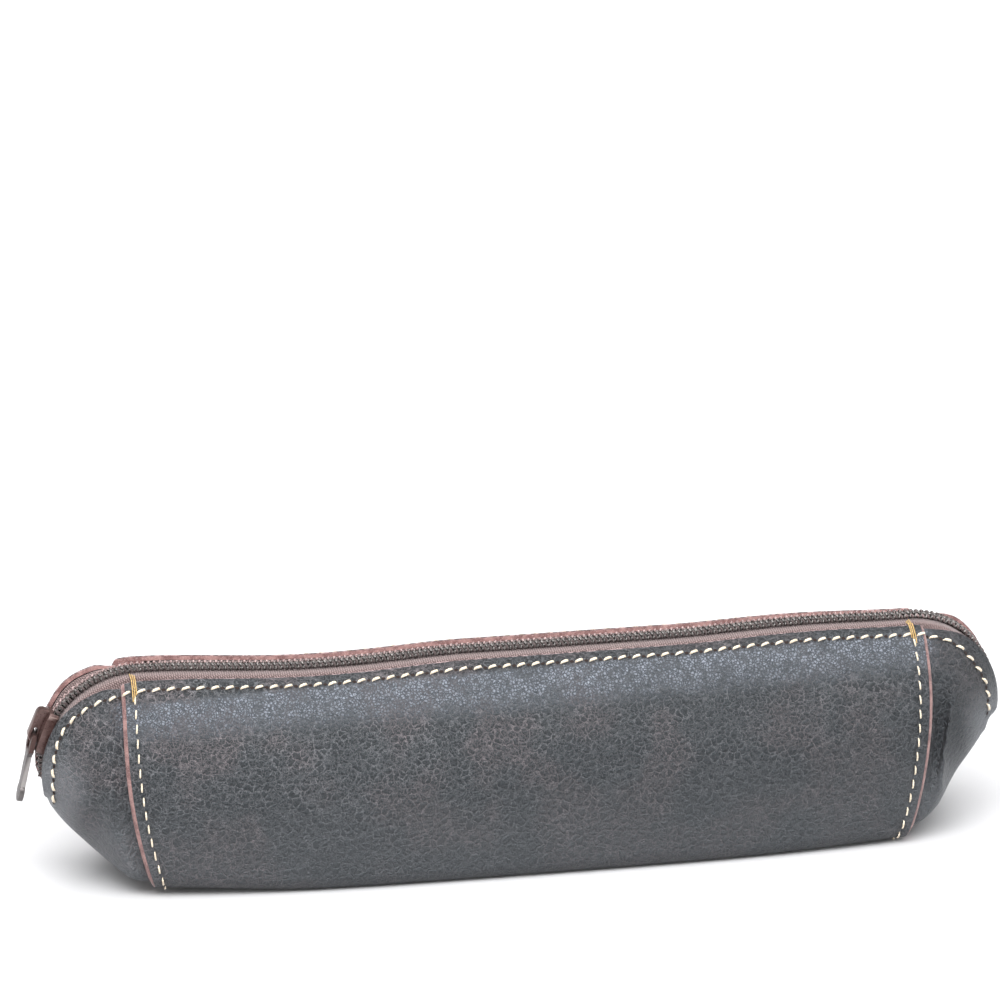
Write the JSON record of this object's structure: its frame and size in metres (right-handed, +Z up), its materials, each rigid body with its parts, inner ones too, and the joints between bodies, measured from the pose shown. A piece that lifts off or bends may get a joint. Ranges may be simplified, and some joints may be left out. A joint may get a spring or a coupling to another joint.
{
  "type": "zipped pen case",
  "caption": "Boat-shaped zipped leather pen case: a body panel wraps the base, end panels lap under it, and a coil zip with slider and pull tab curves over the top.",
  "frame": {"origin": "middle of the flat base, on the surface that the case stands on", "axes": "+X to the right end (the slider is at the left end), +Y to the back, +Z up"},
  "size_m": [0.2251, 0.0424, 0.0503],
  "materials": {
    "leather": "crackled, half gloss",
    "tape": "woven",
    "coil": "smooth",
    "slider_metal": "painted, worn",
    "tab_metal": "worn, satin"
  },
  "bodies": {
    "case": {"body_panel": "leather", "end_panel_left": "leather", "end_panel_right": "leather", "zip_tape_front": "tape", "zip_tape_back": "tape", "zip_coil_front": "coil", "zip_coil_back": "coil"},
    "slider": {"slider_body": "slider_metal", "slider_cap": "slider_metal"},
    "tab": {"pull_tab": "tab_metal"}
  },
  "joints": [
    {"name": "slider_travel", "type": "hinge", "parent": "case", "child": "slider", "pos_m": [-0.0872, 0, 0.0271], "axis": [0, 1, 0], "range_deg": [-13, 53], "deforming": ["zip_coil_front", "zip_coil_back"]},
    {"name": "tab_swing", "type": "hinge", "parent": "slider", "child": "tab", "pos_m": [-0.11084, 0, 0.0354], "axis": [0, 1, 0], "range_deg": [0, 150]}
  ]
}
